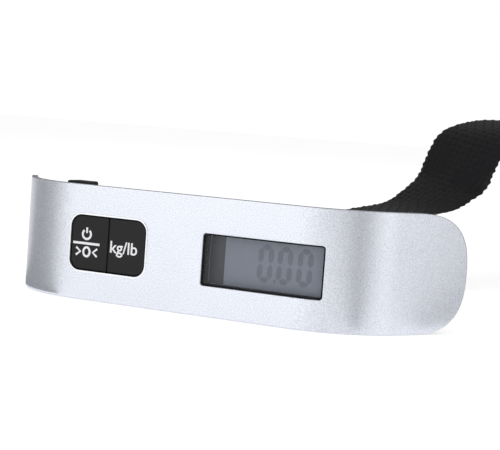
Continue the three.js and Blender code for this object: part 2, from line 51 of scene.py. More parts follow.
# ---- camera ---------------------------------------------------------------------------------
camera_at = (0.1636, -0.3184, 0.04897)
yaw, pitch, roll = (math.radians(a) for a in (25.49, 4.30, 4.18))
ahead = Vector((-math.sin(yaw) * math.cos(pitch), math.cos(yaw) * math.cos(pitch), -math.sin(pitch)))
level = Vector((math.cos(yaw), math.sin(yaw), 0))
upright = level.cross(ahead)
right = level * math.cos(roll) + upright * math.sin(roll)
up = upright * math.cos(roll) - level * math.sin(roll)
camera = bpy.data.objects.new("camera", bpy.data.cameras.new("camera"))
camera.data.lens = 100.8
camera.data.sensor_width = 36
camera.data.clip_start = 0.01
camera.data.clip_end = 20
camera.matrix_world = Matrix.Translation(camera_at) @ Matrix((
    (right.x, up.x, -ahead.x), (right.y, up.y, -ahead.y), (right.z, up.z, -ahead.z))).to_4x4()
bpy.context.scene.collection.objects.link(camera)
bpy.context.scene.camera = camera


# ---- materials ------------------------------------------------------------------------------
GRAIN_HEIGHT = 0.00003                 # relief of the grain, in metres
COARSER = 40                           # the broad unevenness is this many times coarser than the grain
RAMP_ENDS = (0.3, 0.7)                 # noise that gets the darkest and the lightest colour


def material(name, colour, rough, metal=0.0, grain=2500, bump=0.1, spread=0.06, edge=0.0,
             coat=0.0, sheen=0.0, stretch=(1, 1, 1), uv=False, rough_spread=0.08, specular=0.5,
             mottle=0.5):
    """Procedural finish: uneven colour and gloss, a fine grain in relief, softened edges.
    Mottle is the share of the broad unevenness in the colour; the rest is fine grain."""
    made = bpy.data.materials.new(name)
    made.use_nodes = True
    tree = made.node_tree
    shader = tree.nodes["Principled BSDF"]

    def node(kind, **values):
        n = tree.nodes.new(kind)
        for key, value in values.items():
            n.inputs[key.replace("_", " ")].default_value = value
        return n

    place = tree.nodes.new("ShaderNodeTexCoord")
    source = place.outputs["UV" if uv else "Object"]
    if stretch != (1, 1, 1):
        mapping = node("ShaderNodeMapping", Scale=stretch)
        tree.links.new(source, mapping.inputs["Vector"])
        source = mapping.outputs["Vector"]
    fine = node("ShaderNodeTexNoise", Scale=grain, Detail=3.0, Roughness=0.6)
    broad = node("ShaderNodeTexNoise", Scale=grain / COARSER, Detail=4.0, Roughness=0.55)
    for noise in (fine, broad):
        tree.links.new(source, noise.inputs["Vector"])
    ramp = tree.nodes.new("ShaderNodeValToRGB")
    for stop, factor, position in zip(ramp.color_ramp.elements, (1 - spread, 1 + spread), RAMP_ENDS):
        stop.color = (*[min(c * factor, 1) for c in colour], 1)
        stop.position = position
    mixed = node("ShaderNodeMath")
    mixed.operation = "MULTIPLY_ADD"
    mixed.inputs[1].default_value = 1 - mottle
    broad_share = tree.nodes.new("ShaderNodeMath")
    broad_share.operation = "MULTIPLY"
    broad_share.inputs[1].default_value = mottle
    tree.links.new(fine.outputs[0], mixed.inputs[0])
    tree.links.new(broad.outputs[0], broad_share.inputs[0])
    tree.links.new(broad_share.outputs[0], mixed.inputs[2])
    tree.links.new(mixed.outputs[0], ramp.inputs[0])
    tree.links.new(ramp.outputs[0], shader.inputs["Base Color"])
    gloss = tree.nodes.new("ShaderNodeMapRange")
    gloss.inputs["To Min"].default_value = max(rough - rough_spread, 0.02)
    gloss.inputs["To Max"].default_value = min(rough + rough_spread, 1)
    tree.links.new(broad.outputs[0], gloss.inputs["Value"])
    tree.links.new(gloss.outputs[0], shader.inputs["Roughness"])
    relief = node("ShaderNodeBump", Strength=bump, Distance=GRAIN_HEIGHT)
    tree.links.new(fine.outputs[0], relief.inputs["Height"])
    if edge:
        soft = tree.nodes.new("ShaderNodeBevel")
        soft.samples = 6
        soft.inputs["Radius"].default_value = edge
        tree.links.new(soft.outputs[0], relief.inputs["Normal"])
    tree.links.new(relief.outputs[0], shader.inputs["Normal"])
    shader.inputs["Metallic"].default_value = metal
    shader.inputs["Specular IOR Level"].default_value = specular
    shader.inputs["Coat Weight"].default_value = coat
    shader.inputs["Coat Roughness"].default_value = 0.15
    shader.inputs["Sheen Weight"].default_value = sheen
    shader.inputs["Sheen Roughness"].default_value = 0.4
    return made


def window_material():
    """Clear acrylic: seen straight through, with a reflection that grows at a slant."""
    made = bpy.data.materials.new("clear_acrylic")
    made.use_nodes = True
    tree = made.node_tree
    shader = tree.nodes["Principled BSDF"]
    shader.inputs["Base Color"].default_value = (0.93, 0.95, 0.97, 1)
    noise = tree.nodes.new("ShaderNodeTexNoise")
    noise.inputs["Scale"].default_value = 900
    place = tree.nodes.new("ShaderNodeTexCoord")
    tree.links.new(place.outputs["Object"], noise.inputs["Vector"])
    smear = tree.nodes.new("ShaderNodeMapRange")
    smear.inputs["To Min"].default_value = 0.02
    smear.inputs["To Max"].default_value = 0.09
    tree.links.new(noise.outputs[0], smear.inputs["Value"])
    tree.links.new(smear.outputs[0], shader.inputs["Roughness"])
    clear = tree.nodes.new("ShaderNodeBsdfTransparent")
    clear.inputs["Color"].default_value = (0.94, 0.95, 0.97, 1)
    fresnel = tree.nodes.new("ShaderNodeFresnel")
    fresnel.inputs["IOR"].default_value = 1.45
    mix = tree.nodes.new("ShaderNodeMixShader")
    tree.links.new(fresnel.outputs[0], mix.inputs[0])
    tree.links.new(clear.outputs[0], mix.inputs[1])
    tree.links.new(shader.outputs[0], mix.inputs[2])
    tree.links.new(mix.outputs[0], tree.nodes["Material Output"].inputs["Surface"])
    return made


silver = material("silver_lacquer", (0.735, 0.76, 0.835), 0.40, metal=0.94, grain=3400, bump=1.0,
                  spread=0.22, edge=0.0002, coat=0.15, rough_spread=0.01, mottle=0.06)
# painted shade: a darker copy of the silver for the cover's outer edge, where its reflection looks dark
cover_painted_dark_edge = material("cover_painted_dark_edge", (0.30, 0.31, 0.34), 0.55, metal=0.5, grain=3400, bump=0.4, spread=0.15)
# painted highlight: the rim round the keys is real, and its colour, lighter than the cover's, stands for the
# light caught on its chamfer
rim_painted_highlight = material("rim_painted_highlight", (0.86, 0.87, 0.90), 0.22, metal=0.9, grain=3000, bump=0.05)
black = material("black_moulding", (0.010, 0.0105, 0.012), 0.55, grain=3200, bump=0.5, spread=0.18,
                 edge=0.0003, specular=0.35)
surround_black = material("surround_black", (0.006, 0.006, 0.007), 0.7, grain=3200, bump=0.2, spread=0.15,
                          specular=0.15)
key_rubber = material("key_silicone", (0.0065, 0.0065, 0.0075), 0.5, grain=2600, bump=0.16, spread=0.15,
                      edge=0.0002, specular=0.28)
acetal = material("hook_acetal", (0.018, 0.018, 0.02), 0.36, grain=1500, bump=0.25, spread=0.15,
                  edge=0.0003)
steel = material("zinc_steel", (0.62, 0.63, 0.65), 0.27, metal=1.0, grain=1800, bump=0.12,
                 spread=0.10, edge=0.00015, stretch=(1, 6, 6), rough_spread=0.1)
spring_steel = material("nickel_spring", (0.66, 0.63, 0.57), 0.24, metal=1.0, grain=1800, bump=0.1,
                        spread=0.08, stretch=(6, 6, 1))
aluminium = material("milled_aluminium", (0.66, 0.67, 0.69), 0.4, metal=1.0, grain=1400, bump=0.3,
                     spread=0.08, edge=0.00015, stretch=(0.4, 8, 8))
board_green = material("solder_resist", (0.012, 0.10, 0.035), 0.34, grain=1200, bump=0.2,
                       spread=0.25, coat=0.3)
epoxy = material("chip_epoxy", (0.014, 0.014, 0.015), 0.6, grain=5000, bump=0.4, spread=0.2)
ceramic = material("chip_ceramic", (0.32, 0.20, 0.10), 0.5, grain=3500, bump=0.2, spread=0.12)
zebra = material("conductive_rubber", (0.20, 0.11, 0.17), 0.7, grain=2500, bump=0.3, spread=0.5,
                 stretch=(6, 1, 1))
foil = material("polyimide", (0.45, 0.16, 0.03), 0.35, grain=2500, bump=0.2, spread=0.2)
lcd = material("liquid_crystal", (0.315, 0.328, 0.375), 0.3, grain=700, bump=0.02, spread=0.05,
               rough_spread=0.04)
lcd_dark = material("display_ink", (0.205, 0.213, 0.243), 0.35, grain=900, bump=0.02, spread=0.08)
# the display's dark margin with painted shade: darker than the liquid crystal, for the shade along the
# window's left wall
lcd_margin_and_shade = material("display_margin_and_painted_shade", (0.018, 0.0185, 0.022), 0.35, grain=500, bump=0.02, spread=0.25)
ink = material("white_print", (0.82, 0.82, 0.84), 0.55, grain=4000, bump=0.2, spread=0.05)
webbing = material("nylon_webbing", (0.0030, 0.0031, 0.0046), 0.6, grain=500, bump=0.9, spread=0.6,
                   sheen=0.012, specular=0.26, stretch=(9, 0.9, 1), uv=True)
thread = material("nylon_thread", (0.014, 0.0145, 0.018), 0.5, grain=3000, bump=0.7, spread=0.3, sheen=0.1)

finish_of_slot = {
    "silver": silver, "black": black, "key_rubber": key_rubber, "hook_plastic": acetal,
    "clear": window_material(), "display": lcd, "steel": steel, "spring_steel": spring_steel,
    "aluminium": aluminium, "board": board_green, "chip": epoxy, "ceramic": ceramic,
    "connector": zebra, "foil": foil, "webbing": webbing,
}
slot_of_node = {s["node"]: s["material_slot"] for s in frame["record"]["subparts"]}
for name, cad in nodes.items():
    cad.data.materials.clear()
    cad.data.materials.append(finish_of_slot[slot_of_node[name]])
    for face in cad.data.polygons:
        face.use_smooth = False


# ---- making pieces --------------------------------------------------------------------------
def piece(name, verts, faces, finish, body, smooth=True):
    """A new piece from points in millimetres."""
    mesh = bpy.data.meshes.new(name)
    mesh.from_pydata([Vector(v) * MM for v in verts], [], faces)
    mesh.validate()
    mesh.update()
    mesh.materials.append(finish)
    for face in mesh.polygons:
        face.use_smooth = smooth
    made = bpy.data.objects.new(name, mesh)
    bpy.context.scene.collection.objects.link(made)
    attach(made, body)
    return made


# plan of the bent front: flat, an arc at each side, then a straight flange
FRONT, FLAT, BEND, ANGLE, FLANGE = -15.0, 31.0, 26.0, math.radians(56), 22.0
END_X = FLAT + BEND * math.sin(ANGLE) + FLANGE * math.cos(ANGLE)


def bent(x, z, depth):
    """Point at a depth behind the bent front, and the way that the front faces there."""
    side = math.copysign(1, x)
    beyond = abs(x) - FLAT
    arc_x = BEND * math.sin(ANGLE)
    if beyond <= 0:
        a, y = 0.0, FRONT
    elif beyond <= arc_x:
        a = math.asin(beyond / BEND)
        y = FRONT + BEND * (1 - math.cos(a))
    else:
        a = ANGLE
        y = FRONT + BEND * (1 - math.cos(a)) + (beyond - arc_x) * math.tan(a)
    out = Vector((side * math.sin(a), -math.cos(a), 0))
    return Vector((x, y, z)) - out * depth, out


def flat_front(x, z, depth):
    """Point of a flat front at a depth, and the way that it faces."""
    return Vector((x, depth, z)), Vector((0, -1, 0))


def rounded(x0, x1, z0, z1, radii, steps=8):
    """Outline of a rounded rectangle; radii run from lower right, anticlockwise."""
    points = []
    corners = ((x1, z0, -90, -1, 1), (x1, z1, 0, -1, -1), (x0, z1, 90, 1, -1), (x0, z0, 180, 1, 1))
    for (x, z, start, sx, sz), r in zip(corners, radii):
        for i in range(steps + 1):
            a = math.radians(start + 90 * i / steps)
            points.append((x + sx * r + r * math.cos(a), z + sz * r + r * math.sin(a)))
    return points


def evenly(points, step):
    """The closed outline again, with its long sides divided."""
    made = []
    for (ax, az), (bx, bz) in zip(points, points[1:] + points[:1]):
        parts = max(1, round(math.hypot(bx - ax, bz - az) / step))
        if math.hypot(bx - ax, bz - az) < 1e-5:
            continue
        made += [(ax + (bx - ax) * i / parts, az + (bz - az) * i / parts) for i in range(parts)]
    return made


def outward(points):
    """Unit directions out of a closed anticlockwise outline, at its points."""
    made = []
    count = len(points)
    for i in range(count):
        ax, az = points[i - 1]
        bx, bz = points[(i + 1) % count]
        length = math.hypot(bx - ax, bz - az) or 1
        made.append(((bz - az) / length, -(bx - ax) / length))
    return made


def inside(point, outline):
    """True if a point of the front view is within a closed outline."""
    within = False
    for (ax, az), (bx, bz) in zip(outline, outline[1:] + outline[:1]):
        if (az > point.y) != (bz > point.y) and point.x < ax + (bx - ax) * (point.y - az) / (bz - az):
            within = not within
    return within


ROUNDING = [math.radians(a) for a in (0, 22.5, 45, 67.5, 90)]
EDGE_BAND = 2                          # the painted dark edge, a darker material for the edge's dark reflection, starts at this step of the rounding
CLEAR = 0.6                            # grid points keep this share of the grid away from the border


def edge_section(front, back, edge, both):
    """Steps over a plate's edge: how far in they lie, their depth, and the angle that they face."""
    section = [(edge * (1 - math.sin(a)), front + edge * (1 - math.cos(a)), a) for a in ROUNDING]
    if not both:
        return section + [(0, back, math.pi / 2)]
    return section + [(edge * (1 - math.cos(a)), back - edge * (1 - math.sin(a)), math.pi / 2 + a)
                      for a in ROUNDING]


def moved_in(points, sign, inset):
    """An outline moved into the plate: inwards for its outside, outwards for a hole."""
    return [(x - sign * ox * inset, z - sign * oz * inset)
            for (x, z), (ox, oz) in zip(points, outward(points))]


def grid_points(rims, grid):
    """Points on a square grid within a cap's first rim, clear of every rim."""
    if not grid:
        return []
    xs, zs = zip(*rims[0])
    border = [at for rim in rims for at in rim]
    spots = []
    for i in range(int((max(xs) - min(xs)) / grid)):
        for j in range(int((max(zs) - min(zs)) / grid)):
            x = min(xs) + (i + 0.5) * grid
            z = min(zs) + (j + 0.5) * grid
            if all(abs(x - bx) + abs(z - bz) > grid * CLEAR for bx, bz in border):
                spots.append((x, z))
    return spots


def triangles(rims, spots):
    """Points, faces and the points' sources, for the area in the first rim and outside the others."""
    edges, count = [], 0
    for rim in rims:
        edges += [(count + i, count + (i + 1) % len(rim)) for i in range(len(rim))]
        count += len(rim)
    flat = [Vector(at) for rim in rims for at in rim] + [Vector(at) for at in spots]
    points, _, found, origins, _, _ = delaunay_2d_cdt(flat, edges, [], 1, 1e-7)
    kept = []
    for face in found:
        centre = sum((points[k] for k in face), Vector((0, 0))) / len(face)
        if inside(centre, rims[0]) and not any(inside(centre, rim) for rim in rims[1:]):
            kept.append(face)
    return points, kept, origins


def close_cap(cap, depth, way, grid, place, verts, normals, faces):
    """Fill a plate's front (way 1) or back (way -1) between its rings of points."""
    rims = [points for points, _ in cap]
    spots = grid_points(rims, grid)
    known = [vert for _, ring in cap for vert in ring] + [None] * len(spots)
    points, kept, origins = triangles(rims, spots)
    ids = []
    for point, sources in zip(points, origins):
        vert = next((known[k] for k in sources if known[k] is not None), None)
        if vert is None:
            where, out = place(point.x, point.y, depth)
            vert = len(verts)
            verts.append(where)
            normals.append(out * way)
        ids.append(vert)
    for face in kept:
        turned = [ids[k] for k in face]
        a, b, c = (verts[k] for k in turned[:3])
        first = points[face[0]]
        facing = (b - a).cross(c - a).dot(place(first.x, first.y, depth)[1])
        faces.append(turned if (facing > 0) == (way > 0) else turned[::-1])


def plate(name, outer, holes, front, back, edge, finish, body, place=bent, grid=1.0, both=False,
          painted_dark_edge=None):
    """A plate with rounded edges. Outlines are in the front view; holes run anticlockwise too.
    A darker material, painted shade for the dark reflection along the edge, goes on the outer half of the
    rounding and on the wall behind it."""
    section = edge_section(front, back, edge, both)
    verts, normals, faces, painted_dark_edge_faces = [], [], [], []
    caps = ([], [])
    for points, sign in [(outer, 1)] + [(hole, -1) for hole in holes]:
        count = len(points)
        rings = []
        for inset, depth, a in section:
            rings.append(range(len(verts), len(verts) + count))
            for (x, z), (ox, oz) in zip(moved_in(points, sign, inset), outward(points)):
                where, out = place(x, z, depth)
                across = Vector((sign * ox, 0, sign * oz))
                across = (across - out * across.dot(out)).normalized()
                verts.append(where)
                normals.append((out * math.cos(a) + across * math.sin(a)).normalized())
        for band, (near, far) in enumerate(zip(rings, rings[1:])):
            if sign > 0 and band >= EDGE_BAND:
                painted_dark_edge_faces += range(len(faces), len(faces) + count)
            for i in range(count):
                j = (i + 1) % count
                quad = (near[j], near[i], far[i], far[j])
                faces.append(quad if sign > 0 else quad[::-1])
        for cap, (inset, _, _), ring in zip(caps, (section[0], section[-1]), (rings[0], rings[-1])):
            cap.append((moved_in(points, sign, inset), ring))
    for cap, (_, depth, _), way in zip(caps, (section[0], section[-1]), (1, -1)):
        close_cap(cap, depth, way, grid, place, verts, normals, faces)
    made = piece(name, verts, faces, finish, body)
    # the outer edge bands get the darker material of painted edge shade
    if painted_dark_edge:
        made.data.materials.append(painted_dark_edge)
        for index in painted_dark_edge_faces:
            made.data.polygons[index].material_index = 1
    if not both:
        # the back is flat against its neighbour, and only the front and its edges are smoothed
        made.data.normals_split_custom_set_from_vertices([tuple(n) for n in normals])
    return made


def wire_loop(name, path, radius, finish, body, sides=16):
    """A round wire along a closed level path of points."""
    path = [Vector(p) for p in path]
    count = len(path)
    verts, faces = [], []
    for i, centre in enumerate(path):
        way = (path[(i + 1) % count] - path[i - 1]).normalized()
        across = way.cross(Vector((0, 0, 1))).normalized()
        over = across.cross(way).normalized()
        for k in range(sides):
            a = 2 * math.pi * k / sides
            verts.append(centre + (across * math.cos(a) + over * math.sin(a)) * radius)
    for i in range(count):
        near = i * sides
        far = (i + 1) % count * sides
        for k in range(sides):
            m = (k + 1) % sides
            faces.append((near + k, far + k, far + m, near + m))
    return piece(name, verts, faces, finish, body)


# ---- cover, window, keys ----------------------------------------------------------------------
HEIGHT = 29.5
CORNER_LENGTH = 16                     # along the flange
COVER_THICK = 1.6
KEY_RADIUS = 3
WINDOW_RADIUS = 0.75
OUTLINE_STEP = 0.6
KEYS = (-31.6, -9.5, 7.5, 21.75)
WINDOW = (6.5, 38.6, 7.6, 20.5)


def body_outline(steps=28, power=2.7):
    """Front view of the body: straight top and bottom and superelliptic ends."""
    corner = CORNER_LENGTH * math.cos(ANGLE)
    points = []
    for sign in (1, -1):
        for i in range(steps * 2 + 1):
            a = -math.pi / 2 + math.pi * i / (steps * 2)
            reach = abs(math.cos(a)) ** (2 / power)
            rise = math.copysign(abs(math.sin(a)) ** (2 / power), math.sin(a))
            points.append((sign * (END_X - corner + corner * reach),
                           HEIGHT / 2 + sign * HEIGHT / 2 * rise))
    return evenly(points, 1.2)


def opening(box, radius, steps, grown=0.0):
    """Outline of a rounded opening, grown or shrunk on all four sides."""
    x0, x1, z0, z1 = box
    return evenly(rounded(x0 - grown, x1 + grown, z0 - grown, z1 + grown, [radius] * 4, steps), OUTLINE_STEP)


key_opening = opening(KEYS, KEY_RADIUS, 12)
cover = plate("cover_shell", body_outline(), [key_opening, opening(WINDOW, WINDOW_RADIUS, 6)],
              front=0, back=COVER_THICK, edge=0.22, finish=silver, body="housing",
              painted_dark_edge=cover_painted_dark_edge)
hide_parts("front_cover")

rim_width = 0.5
plate("key_rim", opening(KEYS, KEY_RADIUS + rim_width, 12, rim_width), [key_opening],
      front=-0.16, back=0.3, edge=0.14, finish=rim_painted_highlight, body="housing", grid=0)

lining = 0.34                          # how far the surround reaches into the opening
tuck = 0.02                            # the surround stands just clear of the cover's hole
plate("window_surround", opening(WINDOW, WINDOW_RADIUS, 6, -tuck), [opening(WINDOW, 0.45, 6, -lining)],
      front=0.28, back=3.6, edge=0.06, finish=surround_black, body="housing", grid=0)

x0, x1, z0, z1 = KEYS
middle = (x0 + x1) / 2
inset, half_split = 0.25, 0.07         # the gap round the keys, and half the gap between them
key_corner = KEY_RADIUS - inset
split_corner = 0.3
KEY_FACE = -14.8
KEY_BACK = -10.3
for name, left, right_edge, radii in (
        ("power_key", x0 + inset, middle - half_split, (split_corner, split_corner, key_corner, key_corner)),
        ("unit_key", middle + half_split, x1 - inset, (key_corner, key_corner, split_corner, split_corner))):
    cap = plate(name + "_cap", evenly(rounded(left, right_edge, z0 + inset, z1 - inset, radii), 0.8), [],
                front=KEY_FACE, back=KEY_BACK, edge=0.3, finish=key_rubber, body=name,
                place=flat_front)
    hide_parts(name)


# ---- printed marks: generic symbols --------------------------------------------------------------
def strip(points, width, closed=False):
    """Flat band along points in the front view, as pairs of edge points."""
    count = len(points)
    pairs = []
    for i, (x, z) in enumerate(points):
        ax, az = points[i - 1] if closed or i else points[0]
        bx, bz = points[(i + 1) % count] if closed or i < count - 1 else points[-1]
        length = math.hypot(bx - ax, bz - az)
        nx, nz = -(bz - az) / length, (bx - ax) / length
        pairs.append(((x + nx * width / 2, z + nz * width / 2), (x - nx * width / 2, z - nz * width / 2)))
    return pairs


def print_marks(name, strips, body, y, finish, thick=0.05):
    """Printed bands, each a list of pairs of edge points; they stand a little proud."""
    verts, faces = [], []
    for pairs, closed in strips:
        base = len(verts)
        for p, q in pairs:
            verts += [(p[0], y - thick, p[1]), (q[0], y - thick, q[1]), (q[0], y, q[1]), (p[0], y, p[1])]
        count = len(pairs)
        for i in range(count if closed else count - 1):
            a, b = base + 4 * i, base + 4 * ((i + 1) % count)
            faces += [(a + k, a + (k + 1) % 4, b + (k + 1) % 4, b + k) for k in range(4)]
        if not closed:
            faces += [(base + 3, base + 2, base + 1, base),
                      tuple(base + 4 * (count - 1) + k for k in range(4))]
    return piece(name, verts, faces, finish, body, smooth=False)


def arc(cx, cz, r, start, end, steps=24):
    """Points along an arc; its angles are in degrees."""
    return [(cx + r * math.cos(math.radians(start + (end - start) * i / steps)),
             cz + r * math.sin(math.radians(start + (end - start) * i / steps))) for i in range(steps + 1)]


# on/off symbol, a dividing bar, then a nought between two arrowheads: set to zero
switch_x, switch_z, switch_radius = -26.95, 16.8, 1.22
nought_x, nought_z = -26.75, 12.3
nought = [(nought_x + 0.95 * math.cos(t * math.pi / 14), nought_z + 1.15 * math.sin(t * math.pi / 14))
          for t in range(28)]
left_marks = [
    (strip(arc(switch_x, switch_z, switch_radius, 128, 412), 0.56), False),
    (strip([(switch_x, 17.1), (switch_x, 18.55)], 0.54), False),
    (strip([(-30.9, 14.45), (-23.0, 14.45)], 0.62), False),
    (strip(nought, 0.58, True), True),
]
for open_x, point_x in ((-29.9, -28.6), (-23.6, -24.9)):
    head = [(open_x, nought_z + 1), (point_x, nought_z), (open_x, nought_z - 1)]
    left_marks.append((strip(head, 0.56), False))
print_marks("power_key_marks", left_marks, "power_key", KEY_FACE, ink)


LETTER_RELIEF = 0.025
LETTER_WEIGHT = 0.05


def words(name, text, size, x, z, width, body, y, finish):
    """Plain lettering, set in relief and fitted to a width in millimetres."""
    curve = bpy.data.curves.new(name, "FONT")
    curve.body = text
    curve.size = size * MM
    curve.extrude = LETTER_RELIEF * MM
    curve.offset = LETTER_WEIGHT * MM
    curve.align_x = "CENTER"
    curve.align_y = "CENTER"
    made = bpy.data.objects.new(name, curve)
    bpy.context.scene.collection.objects.link(made)
    bpy.context.view_layer.update()
    mesh = bpy.data.meshes.new_from_object(made)
    bpy.data.objects.remove(made)
    breadth = max(v.co.x for v in mesh.vertices) - min(v.co.x for v in mesh.vertices)
    squeeze = width * MM / breadth
    mesh.transform(Matrix.Translation((x * MM, y * MM, z * MM))
                   @ Matrix.Rotation(math.pi / 2, 4, "X") @ Matrix.Diagonal((squeeze, 1, 1, 1)))
    mesh.materials.clear()
    mesh.materials.append(finish)
    made = bpy.data.objects.new(name, mesh)
    bpy.context.scene.collection.objects.link(made)
    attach(made, body)
    return made


words("unit_key_marks", "kg/lb", 4.3, -15.9, 14.2, 7.9, "unit_key", KEY_FACE - LETTER_RELIEF, ink)


# ---- display digits --------------------------------------------------------------------------------
GLASS = -11.2                          # depth of the display's face


def nought_segments(cx, cz, wide=2.7, tall=7.9, thick=1.4, lean=0.04):
    """The six lit segments of a nought, as pairs of edge points."""
    def at(u, v):
        return (cx + u + v * lean, cz + v)
    h, w, cut = tall / 2, wide / 2, 0.16
    ends = [((-w, h), (w, h)), ((w, 0), (w, h)), ((w, -h), (w, 0)),
            ((-w, -h), (w, -h)), ((-w, -h), (-w, 0)), ((-w, 0), (-w, h))]
    made = []
    for (u0, v0), (u1, v1) in ends:
        length = math.hypot(u1 - u0, v1 - v0)
        du, dv = (u1 - u0) / length, (v1 - v0) / length
        pairs = []
        for t, half in ((cut, 0.05), (cut + thick / 2, thick / 2),
                        (length - cut - thick / 2, thick / 2), (length - cut, 0.05)):
            u, v = u0 + du * t, v0 + dv * t
            pairs.append((at(u - dv * half, v + du * half), at(u + dv * half, v - du * half)))
        made.append((pairs, False))
    return made


def block_mark(left, right_edge, bottom, top):
    """One upright rectangle, as pairs of edge points."""
    return [((left, top), (left, bottom)), ((right_edge, top), (right_edge, bottom))], False


digit_places = (22.05, 27.2, 32.5)
digit_middle = 14.45
digits = []
for cx in digit_places:
    digits += nought_segments(cx, digit_middle)
digits.append(block_mark(24.45, 25.05, 9.9, 10.9))     # the decimal point
print_marks("display_digits", digits, "housing", GLASS, lcd_dark, thick=0.02)
# painted shade: a dark strip on the left of the display, for its dark margin and the shade that the window's
# wall casts there
print_marks("display_painted_edge_shade", [block_mark(6.95, 11.0, 8.0, 20.2)], "housing", GLASS, lcd_margin_and_shade,
            thick=0.015)


# ---- ring and end hook -----------------------------------------------------------------------------
RING_HALF, RING_FRONT, RING_REAR, RING_HEIGHT = 15, 4.5, 27.5, 5   # of the middle of the ring's wire
RING_CORNER, WIRE_RADIUS = 2.6, 1.5
ring_path = [(x, y, RING_HEIGHT) for x, y in evenly(
    rounded(-RING_HALF, RING_HALF, RING_FRONT, RING_REAR, [RING_CORNER] * 4), 1.5)]
ring = wire_loop("ring_wire", ring_path, WIRE_RADIUS, steel, "ring_and_strap")
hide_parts("strap_ring")

HOOK_BAR = (233.5, 3.9, 1.6)           # y, z and radius of the bar that the strap is sewn round
HOOK_LENGTH = 38
# y, and how far the strap's middle moves to the right there for each millimetre back
SLOPES = [(38, 0), (68, 0.38), (150, 0.38), (190, 0.05), (300, 0.05)]


def slope_at(y):
    """Slope of the strap's middle at y, between the listed ones."""
    if y <= SLOPES[0][0]:
        return 0.0
    for (a, slope_a), (b, slope_b) in zip(SLOPES, SLOPES[1:]):
        if y <= b:
            return slope_a + (slope_b - slope_a) * (y - a) / (b - a)
    return SLOPES[-1][1]


@functools.lru_cache(None)
def drift(y, step=0.25):
    """Sideways place of the strap's middle at y."""
    start = SLOPES[0][0]
    count = max(0, int((y - start) / step))
    return sum(slope_at(start + (i + 0.5) * step) * step for i in range(count))


hook_x = drift(HOOK_BAR[0])
tilt = math.asin((HOOK_BAR[1] - HOOK_BAR[2] - 0.1) / HOOK_LENGTH)


def on_hook(u, v, depth):
    """u across and v along the hook, which is tilted down until its tip touches the floor."""
    c, s = math.cos(tilt), math.sin(tilt)
    return (Vector((hook_x + u, HOOK_BAR[0] + v * c - depth * s, HOOK_BAR[1] - v * s - depth * c)),
            Vector((0, s, c)))


def hook_outline():
    """An open hook in u and v: a wide plate for the strap's slot, then the hook, with its tip at the left."""
    points = [(-16, -0.8), (16, -0.8), (16, 9), (12, 14), (12, 26)]
    points += arc(0, 26, 12, 8, 172, 26)
    points += [(-12, 26), (-12, 24), (-7.5, 22.5), (-7.5, 26)]
    points += arc(0, 26, 7.5, 172, 8, 22)
    points += [(7.5, 26), (7.5, 18), (3, 14), (-12, 14), (-16, 9)]
    return evenly(points, 1.0)


HOOK_HALF_THICK = 1.55
strap_slot = evenly(rounded(-13.2, 13.2, 0.8, 5.6, [0.6] * 4, 4), 1.0)
hook = plate("moulded_hook", hook_outline(), [strap_slot],
             front=-HOOK_HALF_THICK, back=HOOK_HALF_THICK, edge=0.45, finish=acetal, body="ring_and_strap",
             place=on_hook, grid=0, both=True)
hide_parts("end_hook")


# ---- strap ---------------------------------------------------------------------------------------------
# the strap's middle line in side view, as (y, z)
PATH = [(38, 7.5), (48, 14), (60, 19.5), (75, 22.6), (90, 23.6), (103, 25), (111, 28),
        (118, 33), (124, 41), (130, 48.5), (138, 52), (150, 54), (163, 53.5), (177, 49), (189, 41),
        (199, 31), (208, 20), (216, 10.5), (224, 5.6)]
WRAP_RING, WRAP_HOOK = 2.55, 2.6       # radius of its turns round the ring's wire and the hook's bar


def catmull(points, step, parts=24):
    """Smooth line through points, at even steps, and its length."""
    dense = []
    ends = [points[0]] + list(points) + [points[-1]]
    for i in range(1, len(ends) - 2):
        p0, p1, p2, p3 = (Vector(ends[k]) for k in (i - 1, i, i + 1, i + 2))
        for k in range(parts):
            t = k / parts
            dense.append(0.5 * ((2 * p1) + (p2 - p0) * t + (2 * p0 - 5 * p1 + 4 * p2 - p3) * t * t
                                + (3 * p1 - p0 - 3 * p2 + p3) * t ** 3))
    dense.append(Vector(points[-1]))
    lengths = [0.0]
    for a, b in zip(dense, dense[1:]):
        lengths.append(lengths[-1] + (b - a).length)
    made, j = [], 0
    count = int(lengths[-1] / step)
    for i in range(count + 1):
        want = lengths[-1] * i / count
        while j < len(dense) - 2 and lengths[j + 1] < want:
            j += 1
        span = lengths[j + 1] - lengths[j] or 1
        made.append(dense[j].lerp(dense[j + 1], (want - lengths[j]) / span))
    return made, lengths[-1]


# the tails that are sewn on lie below the strap
tail_at_ring = [(54.6, 15.3), (48.8, 12.5), (43, 8.9), (38.3, 5.7), (33.5, 3.2)]
tail_at_hook = [(228.5, 2.3), (223.3, 3.9), (214.9, 9.2), (207.0, 18.4)]
round_ring = [(RING_REAR + WRAP_RING * math.cos(math.radians(a)),
               RING_HEIGHT + WRAP_RING * math.sin(math.radians(a))) for a in (-75, -125, -180, -235, -285)]
round_hook = [(HOOK_BAR[0] + WRAP_HOOK * math.cos(math.radians(a)),
               HOOK_BAR[1] + WRAP_HOOK * math.sin(math.radians(a))) for a in (100, 50, 0, -50, -100)]
line, strap_length = catmull(tail_at_ring + round_ring + [(33, 6.9)] + PATH + round_hook + tail_at_hook,
                             0.32)

HALF_WIDTH = 12.4
ACROSS_STEPS = 60
CORDS = 12                             # warp cords across the strap
RIB_PITCH = 2.2
BASE, CORD, RIB, WEAVE = 0.30, 0.20, 0.22, 0.16   # parts of the surface's height, in millimetres
EDGE_FADE = 9                          # towards each edge the surface falls off over 1/9 of the half width
LOOP_HEIGHT, LOOP_PITCH = 0.20, 2.4    # weft loops along both edges
WANDER, WANDER_PITCH = 0.10, 5.3       # slower unevenness of both edges
PUCKER_POWER = 1.25                    # puckers grow towards the edges
LOWEST = 0.05                          # the strap stays this far over the floor
UV_SCALE = 0.1                         # the weave's coordinates are in centimetres


